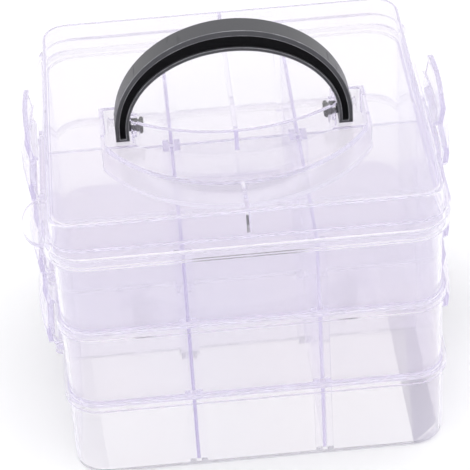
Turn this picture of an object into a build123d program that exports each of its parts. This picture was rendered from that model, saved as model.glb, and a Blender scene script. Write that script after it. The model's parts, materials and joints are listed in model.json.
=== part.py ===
from build123d import *
import math
import os

# Compartment organizer box: three stacked trays, a lid with a folding handle, side latches and dividers.
# Millimetres. +X is to the right, -Y is the front, +Z is up. The origin is the middle of the base.

# Trays
rim_width = 153.6
rim_depth = 150.2
rim_corner_radius = 15.0
rim_height = 3.9
rim_wall = 1.3
ledge = 1.4
tray_height = 37.6
tray_wall = 1.3
wall_draft_deg = 0.85
floor_thickness = 1.6
base_edge_radius = 1.4
nest_depth = 1.6
seat_gap = 0.3
tray_names = ("bottom", "middle", "top")

# Inner walls and dividers
centre_wall = 1.8
divider_offset = 25.6
divider_thickness = 1.4
slot_width = 2.0
slot_rib = 2.5
slot_depth = 3.2
divider_end_gap = 0.4
divider_floor_gap = 0.3
divider_top_gap = 0.5
divider_corner_radius = 1.5

# Lid
lid_gap = 0.35
skirt_wall = 1.3
skirt_overlap = 4.2
shoulder_height = 4.5
crown_inset = 1.8
plate_corner_radius = 10.0
crown_height = 10.2
crown_flare = 1.2
plate_edge_radius = 1.8
lid_wall = 1.5
lid_rib = 1.6
lid_rib_depth = 8.6
tab_length = 30.0
tab_reach = 8.0
tab_thickness = 1.8
tab_centre_y = -44.0

# Handle recess in the lid
recess_depth = 11.2
recess_wall = 1.4
recess_side_gap = 4.5
recess_front_gap = 7.8
recess_front_run = 18.0
recess_back_run = 7.2
recess_corner_radius = 3.0
island_front_run = 16.4
island_side_run = 2.5
island_corner_run = 5.5
island_corner_inset = 2.6

# Handle
handle_span = 95.0
handle_rise = 43.2
handle_depth = 9.5
handle_foot = 5.5
handle_apex = 9.3
handle_pivot_y = -2.0
handle_foot_round = 1.5
channel_depth = 3.2
channel_outer_flange = 2.5
channel_inner_flange = 1.5
channel_foot_flange = 1.7
channel_side_flange = 1.3
inlay_gap = 0.1
inlay_set_back = 0.9
stub_radius = 2.0
stub_clearance = 0.06
stub_overhang = 0.8
island_gap = 0.9
boss_length = 2.8
boss_radius = 4.2

# Side latches
latch_width = 57.0
latch_root_width = 44.0
latch_lip_width = 36.0
latch_bow_radius = 150.0
latch_wing_low = 9.5
latch_wing_high = 16.5
latch_hinge_drop = 12.1
latch_wall = 2.0
latch_bar_radius = 1.25
latch_bore_clearance = 0.07
latch_barrel_radius = 2.2
latch_barrel_width = 38.0
latch_wall_gap = 0.5
latch_wing_start = 3.6
latch_arm = 6.7
latch_arm_height = 5.0
latch_ridge = 7.8
latch_ridge_height = 14.5
latch_neck = 5.0
latch_neck_height = 21.0
latch_flare = 6.3
latch_flare_height = 28.0
latch_tip = 5.4
latch_tip_height = 33.0
latch_bend_radius = 2.4
latch_corner_radius = 5.0
latch_mouth = 1.9
web_reach = 4.4
web_height = 5.0
hook_clearance = 0.3
hook_rise = 0.4
hook_height = 3.4
hook_width = 26.0
hook_root_low = 5.4
hook_root_high = 3.6
bracket_thickness = 3.0
bracket_radius = 2.6
bracket_gap = 0.3
catch_width = 26.0
catch_height = 2.6

# Sizes that follow from the ones above
tray_pitch = tray_height - nest_depth
ledge_z = tray_height - rim_height
seat_z = tray_pitch - seat_gap
draft = math.tan(math.radians(wall_draft_deg))
wall_width = rim_width - 2 * ledge
wall_depth = rim_depth - 2 * ledge
wall_corner = rim_corner_radius - ledge
base_width = wall_width - 2 * ledge_z * draft
base_depth = wall_depth - 2 * ledge_z * draft
base_corner = wall_corner - ledge_z * draft
inner_width = base_width - 2 * tray_wall
inner_depth = base_depth - 2 * tray_wall
inner_corner = base_corner - tray_wall
rim_inner_width = rim_width - 2 * rim_wall
rim_inner_depth = rim_depth - 2 * rim_wall
rim_inner_corner = rim_corner_radius - rim_wall

stack_top = tray_height + tray_pitch * (len(tray_names) - 1)
lid_bottom = stack_top - skirt_overlap
lid_seat = stack_top + seat_gap
shoulder_z = stack_top + shoulder_height
plate_z = shoulder_z + crown_height
skirt_width = rim_width + 2 * (lid_gap + skirt_wall)
skirt_depth = rim_depth + 2 * (lid_gap + skirt_wall)
skirt_corner = rim_corner_radius + lid_gap + skirt_wall
plate_width = rim_width - 2 * crown_inset
plate_depth = rim_depth - 2 * crown_inset
crown_angle = math.degrees(math.atan(crown_flare / crown_height))
recess_floor_z = plate_z - recess_depth
recess_half_width = handle_span / 2 + recess_side_gap
recess_side_front_y = handle_pivot_y - recess_front_run
recess_back_y = handle_pivot_y + recess_back_run
recess_front_y = handle_pivot_y - handle_rise - recess_front_gap

pivot_z = plate_z - handle_depth / 2
foot_inner_x = handle_span / 2 - handle_foot
island_half_width = foot_inner_x - island_gap
boss_end_x = island_half_width - boss_length
stub_end_x = boss_end_x - stub_overhang

hinge_local_z = tray_height - latch_hinge_drop
wall_at_hinge = base_width / 2 + hinge_local_z * draft
hinge_x = wall_at_hinge + latch_wall_gap + latch_barrel_radius
catch_top = nest_depth + shoulder_height
catch_reach = skirt_width / 2
hook_z = latch_hinge_drop + shoulder_height + hook_rise
hook_u = catch_reach + hook_clearance - hinge_x

os.makedirs("parts", exist_ok=True)


def finish(part, name):
    """Name a finished piece and write it out."""
    part.label = name
    export_step(part, f"parts/{name}.step")


def make_tray(name, base_z, has_catch):
    """One tray: drafted shell, stepped rim, centre wall, divider slots, latch brackets and catches."""
    with BuildPart() as tray:
        with BuildSketch(Plane.XY.offset(base_z)):
            RectangleRounded(base_width, base_depth, base_corner)
        extrude(amount=tray_height - rim_height / 2, taper=-wall_draft_deg)
        fillet(tray.faces().sort_by(Axis.Z)[0].edges(), base_edge_radius)
        with BuildSketch(Plane.XY.offset(base_z + ledge_z)):
            RectangleRounded(rim_width, rim_depth, rim_corner_radius)
        extrude(amount=rim_height)
        with BuildSketch(Plane.XY.offset(base_z + floor_thickness)):
            RectangleRounded(inner_width, inner_depth, inner_corner)
        extrude(amount=tray_height, taper=-wall_draft_deg, mode=Mode.SUBTRACT)
        with BuildSketch(Plane.XY.offset(base_z + seat_z)):
            RectangleRounded(rim_inner_width, rim_inner_depth, rim_inner_corner)
        extrude(amount=tray_height, mode=Mode.SUBTRACT)

        # The centre wall and the slot ribs stop just under the tray above.
        rib_height = seat_z - floor_thickness / 2
        rib_span = slot_width + 2 * slot_rib
        with BuildSketch(Plane.XY.offset(base_z + floor_thickness / 2)):
            Rectangle(inner_width + tray_wall, centre_wall)
            for side in (-1, 1):
                with Locations((side * divider_offset, 0)):
                    Rectangle(rib_span, centre_wall + 2 * slot_depth)
                for end in (-1, 1):
                    wall_y = end * (inner_depth + tray_wall / 2 - slot_depth) / 2
                    with Locations((side * divider_offset, wall_y)):
                        Rectangle(rib_span, slot_depth + tray_wall / 2)
        extrude(amount=rib_height)
        slot_faces = (centre_wall / 2, inner_depth / 2 - slot_depth)
        with BuildSketch(Plane.XY.offset(base_z + floor_thickness)):
            for side in (-1, 1):
                for end in (-1, 1):
                    for near in slot_faces:
                        with Locations((side * divider_offset, end * (near + slot_depth / 2))):
                            Rectangle(slot_width, slot_depth)
        extrude(amount=tray_height, mode=Mode.SUBTRACT)

        # Latch brackets with the bar between them, on the left and right walls.
        hinge_z = base_z + hinge_local_z
        bracket_y = latch_barrel_width / 2 + bracket_gap
        root = tray_wall / 2
        for side in (-1, 1):
            for end in (-1, 1):
                near_y = end * (bracket_y + bracket_thickness / 2)
                with BuildSketch(Plane.XZ.offset(-near_y)):
                    with Locations((side * hinge_x, hinge_z)):
                        Circle(bracket_radius)
                    with Locations((side * (hinge_x + wall_at_hinge - root) / 2, hinge_z)):
                        Rectangle(hinge_x - wall_at_hinge + root, 2 * bracket_radius)
                extrude(amount=bracket_thickness / 2, both=True)
            with BuildSketch(Plane.XZ):
                with Locations((side * hinge_x, hinge_z)):
                    Circle(latch_bar_radius)
            extrude(amount=bracket_y + bracket_thickness / 2, both=True)
            if has_catch:
                wall_at_catch = base_width / 2 + catch_top * draft
                with BuildSketch(Plane.XZ):
                    with BuildLine():
                        Polyline(
                            (side * (wall_at_catch - root), base_z + catch_top),
                            (side * catch_reach, base_z + catch_top),
                            (side * catch_reach, base_z + catch_top - catch_height / 2),
                            (side * (wall_at_catch - root), base_z + catch_top - catch_height),
                            close=True,
                        )
                    make_face()
                extrude(amount=catch_width / 2, both=True)
    finish(tray.part, name)


def recess_shape(grow):
    """The crescent recess seen from above, widened all round by grow; the island between the feet stays."""
    half = recess_half_width + grow
    back = recess_back_y + grow
    side_front = recess_side_front_y - grow
    with BuildLine() as border:
        Polyline((half, side_front), (half, back), (-half, back), (-half, side_front))
        ThreePointArc((-half, side_front), (0, recess_front_y - grow), (half, side_front))
    make_face(border.edges())
    island_half = island_half_width - grow
    side_y = handle_pivot_y - island_side_run + grow / 2
    corner_x = island_half - island_corner_inset
    corner_y = handle_pivot_y - island_corner_run + grow
    front_y = handle_pivot_y - island_front_run + grow
    behind = recess_back_y + 2 * recess_wall
    with BuildLine() as island:
        Polyline(
            (corner_x, corner_y),
            (island_half, side_y),
            (island_half, behind),
            (-island_half, behind),
            (-island_half, side_y),
            (-corner_x, corner_y),
        )
        ThreePointArc((-corner_x, corner_y), (0, front_y), (corner_x, corner_y))
    make_face(island.edges(), mode=Mode.SUBTRACT)


def make_lid():
    """The lid: skirt over the top rim, raised crown, centre rib, handle recess with its two ears."""
    with BuildPart() as lid:
        with BuildSketch(Plane.XY.offset(lid_bottom)):
            RectangleRounded(skirt_width, skirt_depth, skirt_corner)
        extrude(amount=shoulder_z - lid_bottom)
        with BuildSketch(Plane.XY.offset(shoulder_z)):
            RectangleRounded(
                plate_width + 2 * crown_flare,
                plate_depth + 2 * crown_flare,
                plate_corner_radius + crown_flare,
            )
        extrude(amount=crown_height, taper=crown_angle)
        fillet(lid.faces().sort_by(Axis.Z)[-1].edges(), plate_edge_radius)
        with BuildSketch(Plane.XY.offset(lid_bottom)):
            RectangleRounded(
                skirt_width - 2 * skirt_wall,
                skirt_depth - 2 * skirt_wall,
                skirt_corner - skirt_wall,
            )
        extrude(amount=lid_seat - lid_bottom, mode=Mode.SUBTRACT)
        hollow = plate_z - lid_wall - lid_seat
        hollow_flare = crown_flare * (shoulder_z - lid_seat + crown_height) / crown_height
        with BuildSketch(Plane.XY.offset(lid_seat)):
            RectangleRounded(
                plate_width + 2 * (hollow_flare - lid_wall),
                plate_depth + 2 * (hollow_flare - lid_wall),
                plate_corner_radius + hollow_flare - lid_wall,
            )
        extrude(amount=hollow, taper=crown_angle, mode=Mode.SUBTRACT)

        # A thin rib under the plate runs from front to back.
        under_plate = plate_z - lid_wall
        with BuildSketch(Plane.XY.offset(under_plate - lid_rib_depth)):
            Rectangle(lid_rib, plate_depth - lid_wall)
        extrude(amount=lid_rib_depth + lid_wall / 2)

        with BuildSketch(Plane.XY.offset(recess_floor_z - recess_wall)):
            recess_shape(recess_wall)
        extrude(amount=recess_depth + recess_wall / 2)
        with BuildSketch(Plane.XY.offset(recess_floor_z)):
            recess_shape(0)
            fillet(vertices(), recess_corner_radius)
        extrude(amount=2 * recess_depth, mode=Mode.SUBTRACT)

        # The island's two side walls carry the handle's stubs, each in a bored boss.
        for side in (-1, 1):
            with BuildSketch(Plane.YZ.offset(side * boss_end_x)):
                with Locations((handle_pivot_y, pivot_z)):
                    Circle(boss_radius)
            extrude(amount=side * (boss_length - recess_wall / 2))
            with BuildSketch(Plane.YZ.offset(side * boss_end_x)):
                with Locations((handle_pivot_y, pivot_z)):
                    Circle(stub_radius + stub_clearance)
            extrude(amount=side * 2 * boss_length, mode=Mode.SUBTRACT)
    finish(lid.part, "lid")


def make_tab():
    """Half-moon finger tab on the lid's skirt at its lower edge, on the left near the front."""
    with BuildPart() as tab:
        with BuildSketch(Plane.XY.offset(lid_bottom)):
            with Locations((-skirt_width / 2, tab_centre_y)):
                Ellipse(tab_reach, tab_length / 2)
            with Locations((0, tab_centre_y)):
                Rectangle(skirt_width, 2 * tab_length, mode=Mode.SUBTRACT)
        extrude(amount=tab_thickness)
    finish(tab.part, "lid_tab")


def hoop(outer_rx, outer_ry, inner_rx, inner_ry, leg=0):
    """Half of an elliptical ring above the pivot line, with a straight leg below each end."""
    with Locations((0, pivot_z)):
        Ellipse(outer_rx, outer_ry)
        Ellipse(inner_rx, inner_ry, mode=Mode.SUBTRACT)
    with Locations((0, pivot_z - outer_ry)):
        Rectangle(4 * outer_rx, 2 * outer_ry, mode=Mode.SUBTRACT)
    if leg:
        leg_x = (outer_rx + inner_rx) / 2
        with Locations((-leg_x, pivot_z - leg / 2), (leg_x, pivot_z - leg / 2)):
            Rectangle(outer_rx - inner_rx, leg)


def make_handle():
    """The arched handle with a channel in both faces, square feet and a stub at each foot."""
    half_span = handle_span / 2
    face = handle_depth / 2
    channel = (
        half_span - channel_foot_flange,
        handle_rise - channel_outer_flange,
        foot_inner_x + channel_side_flange,
        handle_rise - handle_apex + channel_inner_flange,
    )
    channel_leg = face - channel_foot_flange
    with BuildPart() as handle:
        with BuildSketch(Plane.XZ.offset(-handle_pivot_y)):
            hoop(half_span, handle_rise, foot_inner_x, handle_rise - handle_apex)
        extrude(amount=face, both=True)
        for side in (-1, 1):
            with BuildSketch(Plane.YZ.offset(side * foot_inner_x)):
                with Locations((handle_pivot_y, pivot_z)):
                    RectangleRounded(handle_depth, handle_depth, handle_foot_round)
            extrude(amount=side * handle_foot)
            with BuildSketch(Plane.YZ.offset(side * stub_end_x)):
                with Locations((handle_pivot_y, pivot_z)):
                    Circle(stub_radius)
            extrude(amount=side * (foot_inner_x - stub_end_x + channel_side_flange))
        for side in (-1, 1):
            with BuildSketch(Plane.XZ.offset(-handle_pivot_y + side * (face - channel_depth))):
                hoop(*channel, channel_leg)
            extrude(amount=side * 2 * channel_depth, mode=Mode.SUBTRACT)
    finish(handle.part, "handle")

    inlay = (
        channel[0] - inlay_gap,
        channel[1] - inlay_gap,
        channel[2] + inlay_gap,
        channel[3] + inlay_gap,
        channel_leg - inlay_gap,
    )
    for side, name in ((1, "handle_inlay_front"), (-1, "handle_inlay_back")):
        with BuildPart() as strip:
            with BuildSketch(Plane.XZ.offset(-handle_pivot_y + side * (face - channel_depth))):
                hoop(*inlay)
            extrude(amount=side * (channel_depth - inlay_set_back))
        finish(strip.part, name)


def make_latch(name, side, base_z):
    """A side latch: barrel on the tray's bar, bowed plate with a ridge, neck and flared lip, hook behind."""
    hinge_z = base_z + hinge_local_z
    bow_axis_x = hinge_x + latch_ridge - latch_bow_radius
    half_turn = math.degrees(math.asin(latch_width / 2 / latch_bow_radius))
    section = Plane((hinge_x, 0, hinge_z), x_dir=(1, 0, 0), z_dir=(0, -1, 0))
    first_edge = Plane(
        (bow_axis_x, 0, hinge_z),
        x_dir=Vector(1, 0, 0).rotate(Axis.Z, -half_turn),
        z_dir=Vector(0, -1, 0).rotate(Axis.Z, -half_turn),
    )
    with BuildPart() as latch:
        with BuildSketch(first_edge):
            with BuildLine():
                profile = (
                    (latch_barrel_radius, 0),
                    (latch_arm, latch_arm_height),
                    (latch_ridge, latch_ridge_height),
                    (latch_neck, latch_neck_height),
                    (latch_flare, latch_flare_height),
                    (latch_tip, latch_tip_height),
                )
                FilletPolyline(
                    *[(hinge_x - bow_axis_x + reach, height) for reach, height in profile],
                    radius=latch_bend_radius,
                )
                offset(amount=latch_wall, side=Side.LEFT, closed=True)
            make_face()
        revolve(axis=Axis((bow_axis_x, 0, 0), (0, 0, 1)), revolution_arc=2 * half_turn)

        # Seen from the side, the plate widens from the brackets to two wings, then narrows to a round lip.
        with BuildSketch(Plane.YZ.offset(bow_axis_x)):
            with BuildLine():
                half_outline = (
                    (latch_root_width / 2, hinge_z + latch_wing_start),
                    (latch_width / 2, hinge_z + latch_wing_low),
                    (latch_width / 2, hinge_z + latch_wing_high),
                    (latch_lip_width / 2, hinge_z + latch_neck_height),
                    (latch_lip_width / 2, hinge_z + latch_tip_height),
                )
                Polyline(*half_outline, *[(-y, z) for y, z in reversed(half_outline)], close=True)
            make_face()
            fillet(vertices().group_by(Axis.Y)[-1], latch_corner_radius)
        extrude(amount=2 * latch_bow_radius, mode=Mode.INTERSECT)

        # A straight web joins the barrel to the bowed plate, and the hook reaches in over the catch.
        with BuildSketch(section):
            with BuildLine():
                Polyline(
                    (0, 0),
                    (latch_barrel_radius, 0),
                    (web_reach, web_height / 2),
                    (web_reach, web_height),
                    (web_reach - latch_wall, web_height),
                    close=True,
                )
            make_face()
            Circle(latch_barrel_radius)
        extrude(amount=latch_barrel_width / 2, both=True)
        with BuildSketch(section):
            with BuildLine():
                Polyline(
                    (hook_root_low, hook_z),
                    (hook_u, hook_z),
                    (hook_u, hook_z + hook_height / 3),
                    (hook_root_high, hook_z + hook_height),
                    close=True,
                )
            make_face()
        extrude(amount=hook_width / 2, both=True)
        with BuildSketch(section):
            Circle(latch_bar_radius + latch_bore_clearance)
            with Locations((-latch_barrel_radius / 2, 0)):
                Rectangle(latch_barrel_radius, latch_mouth)
        extrude(amount=latch_barrel_width, both=True, mode=Mode.SUBTRACT)
    placed = latch.part if side > 0 else Rot(0, 0, 180) * latch.part
    finish(placed, name)


def make_divider(name, base_z, side, end):
    """A flat divider standing in its two slots."""
    near = centre_wall / 2 + divider_end_gap
    far = inner_depth / 2 - divider_end_gap
    low = base_z + floor_thickness + divider_floor_gap
    high = base_z + seat_z - divider_top_gap
    with BuildPart() as divider:
        with BuildSketch(Plane.YZ.offset(side * divider_offset - divider_thickness / 2)):
            with Locations((end * (near + far) / 2, (low + high) / 2)):
                RectangleRounded(far - near, high - low, divider_corner_radius)
        extrude(amount=divider_thickness)
    finish(divider.part, name)


for index, level in enumerate(tray_names):
    level_z = index * tray_pitch
    make_tray(f"tray_{level}", level_z, index > 0)
    for side_sign, side_name in ((-1, "left"), (1, "right")):
        make_latch(f"latch_{side_name}_{level}", side_sign, level_z)
        for end_sign, end_name in ((-1, "front"), (1, "back")):
            make_divider(f"divider_{level}_{end_name}_{side_name}", level_z, side_sign, end_sign)
make_lid()
make_tab()
make_handle()
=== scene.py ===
"""Compartment organizer box: its finishes, its small hubs and the studio round it."""

import json
import logging
import math
from dataclasses import dataclass, field
from enum import Enum
from typing import Iterable

import bmesh
import bpy
from mathutils import Matrix, Vector


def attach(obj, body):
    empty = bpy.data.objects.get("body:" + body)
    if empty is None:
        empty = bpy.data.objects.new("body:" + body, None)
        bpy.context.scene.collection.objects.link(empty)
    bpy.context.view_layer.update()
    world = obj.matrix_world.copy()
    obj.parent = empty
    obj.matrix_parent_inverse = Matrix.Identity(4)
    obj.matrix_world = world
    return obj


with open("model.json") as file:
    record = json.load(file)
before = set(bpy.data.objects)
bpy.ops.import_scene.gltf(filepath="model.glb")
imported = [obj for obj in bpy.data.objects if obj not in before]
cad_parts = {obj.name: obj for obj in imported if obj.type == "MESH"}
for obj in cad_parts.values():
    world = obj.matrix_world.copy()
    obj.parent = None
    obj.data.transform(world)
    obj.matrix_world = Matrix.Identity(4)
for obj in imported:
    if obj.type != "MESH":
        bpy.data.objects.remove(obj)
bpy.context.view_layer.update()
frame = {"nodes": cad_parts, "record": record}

LOG = logging.getLogger("organizer_box")
Colour = tuple[float, float, float, float]
Span = tuple[float, float]
Triple = tuple[float, float, float]
UNIT: Span = (0.0, 1.0)


class Level(Enum):
    """The three trays, from the floor up."""

    BOTTOM = "bottom"
    MIDDLE = "middle"
    TOP = "top"


class End(Enum):
    """The front and the back, of a tray's dividers or of the handle's faces."""

    FRONT = "front"
    BACK = "back"


class Side(Enum):
    """Left and right seen from the front, with the sign of X."""

    LEFT = ("left", -1)
    RIGHT = ("right", 1)

    @property
    def label(self) -> str:
        """The word used in node names."""
        return self.value[0]

    @property
    def sign(self) -> int:
        """Minus one on the left and one on the right."""
        return self.value[1]


def new_group(
    name: str, inputs: dict[str, float], outputs: tuple[str, ...]
) -> tuple[bpy.types.NodeTree, bpy.types.Node, bpy.types.Node]:
    """Start a shader node group whose inputs and outputs are all single values.

    Args:
        name: The group's name.
        inputs: The default value of each input.
        outputs: The name of each output.

    Returns:
        The node tree, its input node and its output node.
    """
    tree = bpy.data.node_groups.new(name, "ShaderNodeTree")
    for label, value in inputs.items():
        socket = tree.interface.new_socket(label, in_out="INPUT", socket_type="NodeSocketFloat")
        socket.default_value = value
    for label in outputs:
        tree.interface.new_socket(label, in_out="OUTPUT", socket_type="NodeSocketFloat")
    return tree, tree.nodes.new("NodeGroupInput"), tree.nodes.new("NodeGroupOutput")


def add_node(
    tree: bpy.types.NodeTree,
    kind: str,
    values: dict[str | int, object] | None = None,
    **settings: object,
) -> bpy.types.Node:
    """Add a node, set its properties, and fill its inputs.

    Args:
        tree: The node tree that gets the node.
        kind: The node's type name.
        values: Input names or indices with either a value or a socket to link from.
        settings: Properties of the node itself.

    Returns:
        The new node.
    """
    node = tree.nodes.new(kind)
    for key, setting in settings.items():
        setattr(node, key, setting)
    for key, value in (values or {}).items():
        if isinstance(value, bpy.types.NodeSocket):
            tree.links.new(value, node.inputs[key])
        else:
            node.inputs[key].default_value = value
    return node


def add_group(
    tree: bpy.types.NodeTree, group: bpy.types.NodeTree, values: dict[str, float] | None = None
) -> bpy.types.Node:
    """Place a shared group in a material.

    Args:
        tree: The material's node tree.
        group: The shared group.
        values: The group's inputs that differ from their defaults.

    Returns:
        The group node.
    """
    node = tree.nodes.new("ShaderNodeGroup")
    node.node_tree = group
    for key, value in (values or {}).items():
        node.inputs[key].default_value = value
    return node


def work_out(tree: bpy.types.NodeTree, operation: str, *terms: object) -> bpy.types.NodeSocket:
    """Add a math node.

    Args:
        tree: The node tree that gets the node.
        operation: The node's word for the sum.
        terms: The values or sockets that go in, in order.

    Returns:
        The result.
    """
    return add_node(tree, "ShaderNodeMath", dict(enumerate(terms)), operation=operation).outputs[0]


def remap(
    tree: bpy.types.NodeTree, value: bpy.types.NodeSocket, source: Span, target: Span
) -> bpy.types.NodeSocket:
    """Map one range of a value to another and clamp it there.

    Args:
        tree: The node tree that gets the node.
        value: The value to map.
        source: The two ends to map from.
        target: The two ends to map to.

    Returns:
        The mapped value.
    """
    ends = {"From Min": source[0], "From Max": source[1], "To Min": target[0], "To Max": target[1]}
    return add_node(tree, "ShaderNodeMapRange", {"Value": value, **ends}).outputs[0]


def noise(
    tree: bpy.types.NodeTree, place: bpy.types.NodeSocket, scale: object, detail: float
) -> bpy.types.NodeSocket:
    """Add a noise texture.

    Args:
        tree: The node tree that gets the node.
        place: The coordinates.
        scale: Its scale, as a value or a socket.
        detail: Its number of finer layers.

    Returns:
        The noise, from 0 to 1.
    """
    values = {"Vector": place, "Scale": scale, "Detail": detail}
    return add_node(tree, "ShaderNodeTexNoise", values).outputs["Fac"]


def object_place(tree: bpy.types.NodeTree) -> bpy.types.NodeSocket:
    """Add the piece's own coordinates and return them."""
    return add_node(tree, "ShaderNodeTexCoord").outputs["Object"]


def surface_normal(tree: bpy.types.NodeTree) -> bpy.types.NodeSocket:
    """Add the surface's own normal and return it."""
    return add_node(tree, "ShaderNodeNewGeometry").outputs["Normal"]


def mix_colours(
    tree: bpy.types.NodeTree, factor: bpy.types.NodeSocket, first: Colour, second: Colour
) -> bpy.types.NodeSocket:
    """Mix two colours.

    Args:
        tree: The node tree that gets the node.
        factor: How much of the second colour shows.
        first: The colour at 0.
        second: The colour at 1.

    Returns:
        The mixed colour.
    """
    node = add_node(tree, "ShaderNodeMix", data_type="RGBA")
    tree.links.new(factor, node.inputs["Factor"])
    sides = [socket for socket in node.inputs if socket.type == "RGBA"]
    for socket, colour in zip(sides, (first, second)):
        socket.default_value = colour
    return next(socket for socket in node.outputs if socket.type == "RGBA")


@dataclass(frozen=True)
class MouldedSkin:
    """The surface a mould leaves: slow flow waves, fine grain and short handling scratches."""

    flow_scale: float = 22.0
    flow_detail: float = 2.0
    grain_scale: float = 900.0
    grain_detail: float = 3.0
    grain_amount: float = 0.2
    scratch_scale: float = 60.0
    scratch_detail: float = 1.0
    scratch_turn: Triple = (0.5, 0.9, 0.7)
    scratch_squeeze: Triple = (1.0, 1.0, 14.0)
    scratch_fade: Span = (0.66, 0.74)

    def build(self) -> bpy.types.NodeTree:
        """Build the group.

        Returns:
            The node group, with a height and a scratch mask.
        """
        sizes = {
            "Flow Scale": self.flow_scale,
            "Grain Scale": self.grain_scale,
            "Grain Amount": self.grain_amount,
            "Scratch Scale": self.scratch_scale,
        }
        tree, entry, leave = new_group("moulded_skin", sizes, ("Height", "Scratches"))
        place = object_place(tree)
        flow = noise(tree, place, entry.outputs["Flow Scale"], self.flow_detail)
        grain = noise(tree, place, entry.outputs["Grain Scale"], self.grain_detail)
        fine = work_out(tree, "MULTIPLY", grain, entry.outputs["Grain Amount"])
        tree.links.new(work_out(tree, "ADD", flow, fine), leave.inputs["Height"])
        turn = {"Vector": place, "Rotation": self.scratch_turn, "Scale": self.scratch_squeeze}
        drawn_out = add_node(tree, "ShaderNodeMapping", turn).outputs[0]
        cuts = noise(tree, drawn_out, entry.outputs["Scratch Scale"], self.scratch_detail)
        tree.links.new(remap(tree, cuts, self.scratch_fade, UNIT), leave.inputs["Scratches"])
        return tree


@dataclass(frozen=True)
class WornEdge:
    """A broken line of paler colour along the sharp outer edges: partly real scuffing, partly a painted
    edge highlight.
    """

    radius: float = 0.0006
    amount: float = 1.0
    samples: int = 6
    turned_away: Span = (0.99, 0.86)
    patch_scale: float = 140.0
    patch_detail: float = 3.0
    patch_fade: Span = (0.4, 0.6)
    patch_wear: Span = (0.5, 1.0)

    def build(self) -> bpy.types.NodeTree:
        """Build the group.

        Returns:
            The node group, with one mask.
        """
        sizes = {"Radius": self.radius, "Amount": self.amount}
        tree, entry, leave = new_group("worn_edge_and_highlight", sizes, ("Mask",))
        radius = {"Radius": entry.outputs["Radius"]}
        rounded = add_node(tree, "ShaderNodeBevel", radius, samples=self.samples).outputs[0]
        sides = {0: rounded, 1: surface_normal(tree)}
        match = add_node(tree, "ShaderNodeVectorMath", sides, operation="DOT_PRODUCT").outputs["Value"]
        edge = remap(tree, match, self.turned_away, UNIT)
        patch = noise(tree, object_place(tree), self.patch_scale, self.patch_detail)
        broken = remap(tree, patch, self.patch_fade, self.patch_wear)
        # Painted highlight in part: light catching the sharp edges, broken into patches like scuffing.
        rubbed_and_highlit = work_out(tree, "MULTIPLY", edge, broken)
        mask = work_out(tree, "MULTIPLY", rubbed_and_highlit, entry.outputs["Amount"])
        tree.links.new(mask, leave.inputs["Mask"])
        return tree


@dataclass(frozen=True)
class EjectorRings:
    """A grid of thin rings on level faces, where the mould's pins pushed."""

    pitch: float = 0.034
    radius: float = 0.0032
    line: float = 0.00022
    level_from: float = 0.95

    def build(self) -> bpy.types.NodeTree:
        """Build the group.

        Returns:
            The node group, with one mask.
        """
        sizes = {"Pitch": self.pitch, "Radius": self.radius, "Line": self.line}
        tree, entry, leave = new_group("ejector_rings", sizes, ("Mask",))
        parts = add_node(tree, "ShaderNodeSeparateXYZ", {0: object_place(tree)})
        half = work_out(tree, "MULTIPLY", entry.outputs["Pitch"], 0.5)
        away = {}
        for axis in ("X", "Y"):
            moved = work_out(tree, "ADD", parts.outputs[axis], half)
            away[axis] = work_out(tree, "PINGPONG", moved, half)
        offset = add_node(tree, "ShaderNodeCombineXYZ", away).outputs[0]
        reach = add_node(tree, "ShaderNodeVectorMath", {0: offset}, operation="LENGTH").outputs["Value"]
        ring = work_out(tree, "COMPARE", reach, entry.outputs["Radius"], entry.outputs["Line"])
        normal = add_node(tree, "ShaderNodeSeparateXYZ", {0: surface_normal(tree)})
        upright = work_out(tree, "ABSOLUTE", normal.outputs["Z"])
        level = work_out(tree, "GREATER_THAN", upright, self.level_from)
        tree.links.new(work_out(tree, "MULTIPLY", ring, level), leave.inputs["Mask"])
        return tree


@dataclass(frozen=True)
class TintFlow:
    """Broad soft clouds where the melt's colour drifts."""

    scale: float = 14.0
    detail: float = 1.5
    fade: Span = (0.38, 0.62)

    def build(self) -> bpy.types.NodeTree:
        """Build the group.

        Returns:
            The node group, with one mask.
        """
        tree, entry, leave = new_group("tint_flow", {"Scale": self.scale}, ("Mask",))
        cloud = noise(tree, object_place(tree), entry.outputs["Scale"], self.detail)
        tree.links.new(remap(tree, cloud, self.fade, UNIT), leave.inputs["Mask"])
        return tree


def start_material(name: str) -> tuple[bpy.types.Material, bpy.types.Node, bpy.types.Node]:
    """Start a node material.

    Args:
        name: The material's name.

    Returns:
        The material, its Principled node and its output node.
    """
    material = bpy.data.materials.new(name)
    material.use_nodes = True
    nodes = material.node_tree.nodes
    nodes.clear()
    output = nodes.new("ShaderNodeOutputMaterial")
    shader = nodes.new("ShaderNodeBsdfPrincipled")
    material.node_tree.links.new(shader.outputs[0], output.inputs["Surface"])
    return material, shader, output


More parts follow.
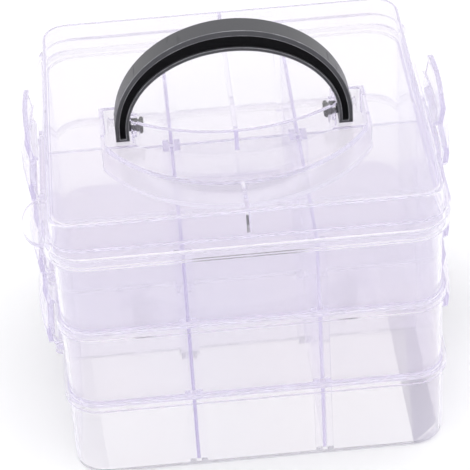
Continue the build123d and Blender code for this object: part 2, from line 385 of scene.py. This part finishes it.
@dataclass(frozen=True)
class ClearPlastic:
    """Clear moulded plastic with a faint tint that deepens with its thickness."""

    name: str
    body: Colour = (0.52, 0.40, 0.80, 1.0)
    density: float = 9.0
    surface: Colour = (0.985, 0.980, 0.993, 1.0)
    blush: Colour = (0.990, 0.979, 0.988, 1.0)
    clearness: float = 0.93
    roughness: float = 0.05
    scratched_roughness: float = 0.15
    ior: float = 1.49
    shadow: Colour = (0.99, 0.988, 0.996, 1.0)
    # Painted light: the emission colour that ends deep paths, making the plastic shine where no lamp is.
    painted_glow: Colour = (0.80, 0.76, 0.92, 1.0)
    deepest: float = 8.5
    most_glossy: float = 1.5
    grain: float = 0.05
    ring_height: float = 0.5
    bump: float = 0.05
    bump_distance: float = 0.0001

    def build(
        self, skin: bpy.types.NodeTree, flow: bpy.types.NodeTree, rings: bpy.types.NodeTree
    ) -> bpy.types.Material:
        """Build the material.

        Args:
            skin: The moulded skin group.
            flow: The tint flow group.
            rings: The ejector ring group.

        Returns:
            The clear plastic.
        """
        material, shader, output = start_material(self.name)
        tree = material.node_tree
        drift = add_group(tree, flow).outputs["Mask"]
        tree.links.new(mix_colours(tree, drift, self.surface, self.blush), shader.inputs["Base Color"])
        shader.inputs["Transmission Weight"].default_value = self.clearness
        shader.inputs["IOR"].default_value = self.ior
        marks = add_group(tree, skin, {"Grain Amount": self.grain})
        rough = remap(tree, marks.outputs["Scratches"], UNIT, (self.roughness, self.scratched_roughness))
        tree.links.new(rough, shader.inputs["Roughness"])
        pins = add_group(tree, rings).outputs["Mask"]
        height = work_out(tree, "MULTIPLY_ADD", pins, self.ring_height, marks.outputs["Height"])
        relief = {"Height": height, "Strength": self.bump, "Distance": self.bump_distance}
        tree.links.new(add_node(tree, "ShaderNodeBump", relief).outputs[0], shader.inputs["Normal"])
        tree.links.new(self.end_long_paths(tree, shader.outputs[0]), output.inputs["Surface"])
        inside = {"Color": self.body, "Density": self.density}
        absorption = add_node(tree, "ShaderNodeVolumeAbsorption", inside)
        tree.links.new(absorption.outputs[0], output.inputs["Volume"])
        return material

    def end_long_paths(
        self, tree: bpy.types.NodeTree, plastic: bpy.types.NodeSocket
    ) -> bpy.types.NodeSocket:
        """Let shadows through, and end a path that has crossed too many walls in painted light: a flat
        emission in the plastic's tint that stands in for the light the path would have brought back.

        Args:
            tree: The material's node tree.
            plastic: The plastic's shader.

        Returns:
            The shader for the material's surface.
        """
        path = add_node(tree, "ShaderNodeLightPath").outputs
        thin = add_node(tree, "ShaderNodeBsdfTransparent", {"Color": self.shadow}).outputs[0]
        lit = add_node(tree, "ShaderNodeMixShader", {0: path["Is Shadow Ray"], 1: plastic, 2: thin})
        deep = work_out(tree, "GREATER_THAN", path["Ray Depth"], self.deepest)
        mirrored = work_out(tree, "GREATER_THAN", path["Glossy Depth"], self.most_glossy)
        spent = work_out(tree, "MAXIMUM", deep, mirrored)
        # Painted light: an emission, not a lamp, shown where a path has gone too deep.
        painted_glow = add_node(tree, "ShaderNodeEmission", {"Color": self.painted_glow}).outputs[0]
        return add_node(tree, "ShaderNodeMixShader", {0: spent, 1: lit.outputs[0], 2: painted_glow}).outputs[0]


@dataclass(frozen=True)
class OpaquePlastic:
    """Coloured moulded plastic with paler edges, partly real scuffing and partly a painted edge
    highlight, with fine grain and handling scratches.
    """

    name: str
    colour: Colour
    worn: Colour
    roughness: float
    scratched_roughness: float
    grain: float
    bump: float
    shine: float
    bump_distance: float = 0.0002

    def build(self, skin: bpy.types.NodeTree, wear_and_highlight: bpy.types.NodeTree) -> bpy.types.Material:
        """Build the material.

        Args:
            skin: The moulded skin group.
            wear_and_highlight: The edge group, whose paler edges are partly scuffing and partly a
                painted highlight.

        Returns:
            The coloured plastic.
        """
        material, shader, _ = start_material(self.name)
        tree = material.node_tree
        shader.inputs["Specular IOR Level"].default_value = self.shine
        rubbed_and_highlit = add_group(tree, wear_and_highlight).outputs["Mask"]
        # Paler edges: partly scuffing, partly a painted edge highlight.
        tree.links.new(mix_colours(tree, rubbed_and_highlit, self.colour, self.worn), shader.inputs["Base Color"])
        marks = add_group(tree, skin, {"Grain Amount": self.grain})
        rough = remap(tree, marks.outputs["Scratches"], UNIT, (self.roughness, self.scratched_roughness))
        tree.links.new(rough, shader.inputs["Roughness"])
        relief = {
            "Height": marks.outputs["Height"],
            "Strength": self.bump,
            "Distance": self.bump_distance,
        }
        tree.links.new(add_node(tree, "ShaderNodeBump", relief).outputs[0], shader.inputs["Normal"])
        return material


def dress(node: str, material: bpy.types.Material) -> None:
    """Give a CAD node its material.

    Args:
        node: The node's name.
        material: The material for all its slots.
    """
    mesh = frame["nodes"][node].data
    mesh.materials.clear()
    mesh.materials.append(material)
    LOG.info("dressed %s in %s", node, material.name)


@dataclass(frozen=True)
class Softbox:
    """A square soft light that faces the box."""

    name: str
    place: Triple
    size: float
    power: float

    def build(self) -> None:
        """Hang the light."""
        lamp = bpy.data.lights.new(self.name, "AREA")
        lamp.shape = "SQUARE"
        lamp.size = self.size
        lamp.energy = self.power
        softbox = bpy.data.objects.new(self.name, lamp)
        softbox.location = self.place
        softbox.rotation_mode = "QUATERNION"
        softbox.rotation_quaternion = (-Vector(self.place)).to_track_quat("-Z", "Y")
        bpy.context.scene.collection.objects.link(softbox)


@dataclass
class Studio:
    """The pale floor, the soft lights and the camera of the photograph."""

    floor_size: float = 6.0
    floor_colour: Colour = (0.93, 0.93, 0.94, 1.0)
    floor_roughness: float = 0.9
    sky: Colour = (1.0, 1.0, 1.0, 1.0)
    sky_strength: float = 1.12
    lens: float = 184.67
    sensor: float = 36.0
    yaw_deg: float = 2.51
    pitch_deg: float = 36.46
    roll_deg: float = -3.61
    eye: Triple = (-0.0370, -0.8043, 0.65405)
    shift: Span = (-0.0028, 0.0017)
    nearest: float = 0.05
    farthest: float = 20.0
    lamps: list[Softbox] = field(
        default_factory=lambda: [
            Softbox("key_softbox", (-0.7, -0.5, 1.3), 0.9, 3.6),
            Softbox("fill_softbox", (0.9, -0.3, 1.1), 1.1, 2.0),
        ]
    )

    def build(self) -> None:
        """Build the floor, the lights and the camera."""
        self.make_floor()
        self.make_surround()
        for lamp in self.lamps:
            lamp.build()
        self.make_camera()

    def make_floor(self) -> None:
        """Lay the pale floor."""
        half = self.floor_size / 2
        mesh = bpy.data.meshes.new("studio_floor")
        corners = [(-half, -half, 0), (half, -half, 0), (half, half, 0), (-half, half, 0)]
        mesh.from_pydata(corners, [], [(0, 1, 2, 3)])
        floor = bpy.data.objects.new("studio_floor", mesh)
        bpy.context.scene.collection.objects.link(floor)
        material, shader, _ = start_material("pale_floor")
        shader.inputs["Base Color"].default_value = self.floor_colour
        shader.inputs["Roughness"].default_value = self.floor_roughness
        mesh.materials.append(material)

    def make_surround(self) -> None:
        """Set the even white surround."""
        world = bpy.data.worlds.new("studio_surround")
        world.use_nodes = True
        bpy.context.scene.world = world
        background = world.node_tree.nodes["Background"]
        background.inputs["Color"].default_value = self.sky
        background.inputs["Strength"].default_value = self.sky_strength

    def make_camera(self) -> None:
        """Set the camera at the photograph's viewing angle."""
        data = bpy.data.cameras.new("photo_camera")
        data.sensor_width = self.sensor
        data.lens = self.lens
        data.shift_x, data.shift_y = self.shift
        data.clip_start = self.nearest
        data.clip_end = self.farthest
        camera = bpy.data.objects.new("photo_camera", data)
        turns = (self.yaw_deg, self.pitch_deg, self.roll_deg)
        yaw, pitch, roll = (math.radians(turn) for turn in turns)
        level = math.cos(pitch)
        ahead = Vector((math.sin(yaw) * level, math.cos(yaw) * level, -math.sin(pitch)))
        right = Vector((math.cos(yaw), -math.sin(yaw), 0))
        up = right.cross(ahead)
        across = right * math.cos(roll) + up * math.sin(roll)
        upward = up * math.cos(roll) - right * math.sin(roll)
        facing = Matrix((across, upward, -ahead)).transposed()
        camera.matrix_world = Matrix.Translation(self.eye) @ facing.to_4x4()
        bpy.context.scene.collection.objects.link(camera)
        bpy.context.scene.camera = camera


@dataclass
class Lid:
    """The lid and its finger tab."""

    plastic: bpy.types.Material

    def build(self) -> None:
        """Dress the lid and the tab."""
        dress("lid", self.plastic)
        dress("lid_tab", self.plastic)


@dataclass
class TrayStack:
    """The three trays with their dividers and side latches."""

    plastic: bpy.types.Material

    def build(self) -> None:
        """Dress each tray, and what it carries."""
        for level in Level:
            dress(f"tray_{level.value}", self.plastic)
            for side in Side:
                dress(f"latch_{side.label}_{level.value}", self.plastic)
                for end in End:
                    dress(f"divider_{level.value}_{end.value}_{side.label}", self.plastic)


@dataclass
class CarryHandle:
    """The arched handle, its grip inlays, and the ribbed hubs at the inner ends of its stubs."""

    shell: bpy.types.Material
    grip: bpy.types.Material
    hub_start: float = 0.0378
    hub_end: float = 0.0360
    hub_radius: float = 0.0024
    root_share: float = 0.6
    tip_share: float = 0.75
    rib_height: float = 0.0005
    rib_count: int = 10
    rib_steps: int = 4

    def build(self) -> None:
        """Dress the handle and fit a hub to each stub."""
        dress("handle", self.shell)
        for face in End:
            dress(f"handle_inlay_{face.value}", self.grip)
        joints = frame["record"]["behaviour"]["joints"]
        fold = next(joint for joint in joints if joint["name"] == "handle_fold")
        for side in Side:
            hub = self.make_hub(f"stub_hub_{side.label}", side.sign, Vector(fold["pos_m"]))
            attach(hub, "handle")
            LOG.info("fitted %s", hub.name)

    def hub_rings(self) -> tuple[Span, ...]:
        """Give each ring's distance from the middle of the box, and its radius without ribs."""
        bevel = self.rib_height
        return (
            (self.hub_start, self.hub_radius * self.root_share),
            (self.hub_start - bevel, self.hub_radius),
            (self.hub_end + bevel, self.hub_radius),
            (self.hub_end, self.hub_radius * self.tip_share),
        )

    def hub_corners(self, sign: int, pivot: Vector) -> list[Triple]:
        """Place the hub's corners, ring by ring.

        Args:
            sign: Minus one on the left and one on the right.
            pivot: A point on the pivot line.

        Returns:
            The corners.
        """
        count = self.rib_count * self.rib_steps
        corners = []
        for along, radius in self.hub_rings():
            for step in range(count):
                on_rib = step % self.rib_steps < self.rib_steps // 2
                reach = radius + (self.rib_height if on_rib else 0.0)
                angle = 2 * math.pi * step / count
                across = pivot.y + reach * math.cos(angle)
                corners.append((sign * along, across, pivot.z + reach * math.sin(angle)))
        return corners

    def hub_faces(self) -> list[tuple[int, ...]]:
        """List the hub's faces by their corners, the two ends first."""
        count = self.rib_count * self.rib_steps
        total = count * len(self.hub_rings())
        faces = [tuple(range(count)), tuple(range(total - 1, total - 1 - count, -1))]
        for low in range(0, total - count, count):
            for step in range(count):
                following = (step + 1) % count
                faces.append((low + step, low + count + step, low + count + following, low + following))
        return faces

    def make_hub(self, name: str, sign: int, pivot: Vector) -> bpy.types.Object:
        """Make a ribbed hub round the pivot line.

        Args:
            name: The piece's name.
            sign: Minus one on the left and one on the right.
            pivot: A point on the pivot line.

        Returns:
            The hub.
        """
        mesh = bpy.data.meshes.new(name)
        mesh.from_pydata(self.hub_corners(sign, pivot), [], self.hub_faces())
        mesh.materials.append(self.grip)
        shape = bmesh.new()
        shape.from_mesh(mesh)
        bmesh.ops.recalc_face_normals(shape, faces=shape.faces)
        shape.to_mesh(mesh)
        shape.free()
        hub = bpy.data.objects.new(name, mesh)
        bpy.context.scene.collection.objects.link(hub)
        return hub


def main() -> None:
    """Build the box's looks, piece by piece."""
    logging.basicConfig(level=logging.INFO, format="%(message)s")
    skin = MouldedSkin().build()
    wear_and_highlight = WornEdge().build()
    flow = TintFlow().build()
    rings = EjectorRings().build()
    clear = ClearPlastic("clear_lavender_plastic").build(skin, flow, rings)
    grey = OpaquePlastic(
        name="grey_handle_plastic",
        colour=(0.055, 0.055, 0.062, 1),
        # Pale edge colour: partly scuffing, partly a painted edge highlight.
        worn=(0.42, 0.42, 0.45, 1),
        roughness=0.34,
        scratched_roughness=0.54,
        grain=0.3,
        bump=0.1,
        shine=0.4,
    ).build(skin, wear_and_highlight)
    black = OpaquePlastic(
        name="black_grip_plastic",
        colour=(0.004, 0.004, 0.005, 1),
        worn=(0.03, 0.03, 0.034, 1),
        roughness=0.5,
        scratched_roughness=0.7,
        grain=0.6,
        bump=0.2,
        shine=0.08,
    ).build(skin, wear_and_highlight)
    Studio().build()
    Lid(clear).build()
    TrayStack(clear).build()
    CarryHandle(grey, black).build()
    bpy.context.scene.view_settings.view_transform = "Standard"


if __name__ == "__main__":
    main()
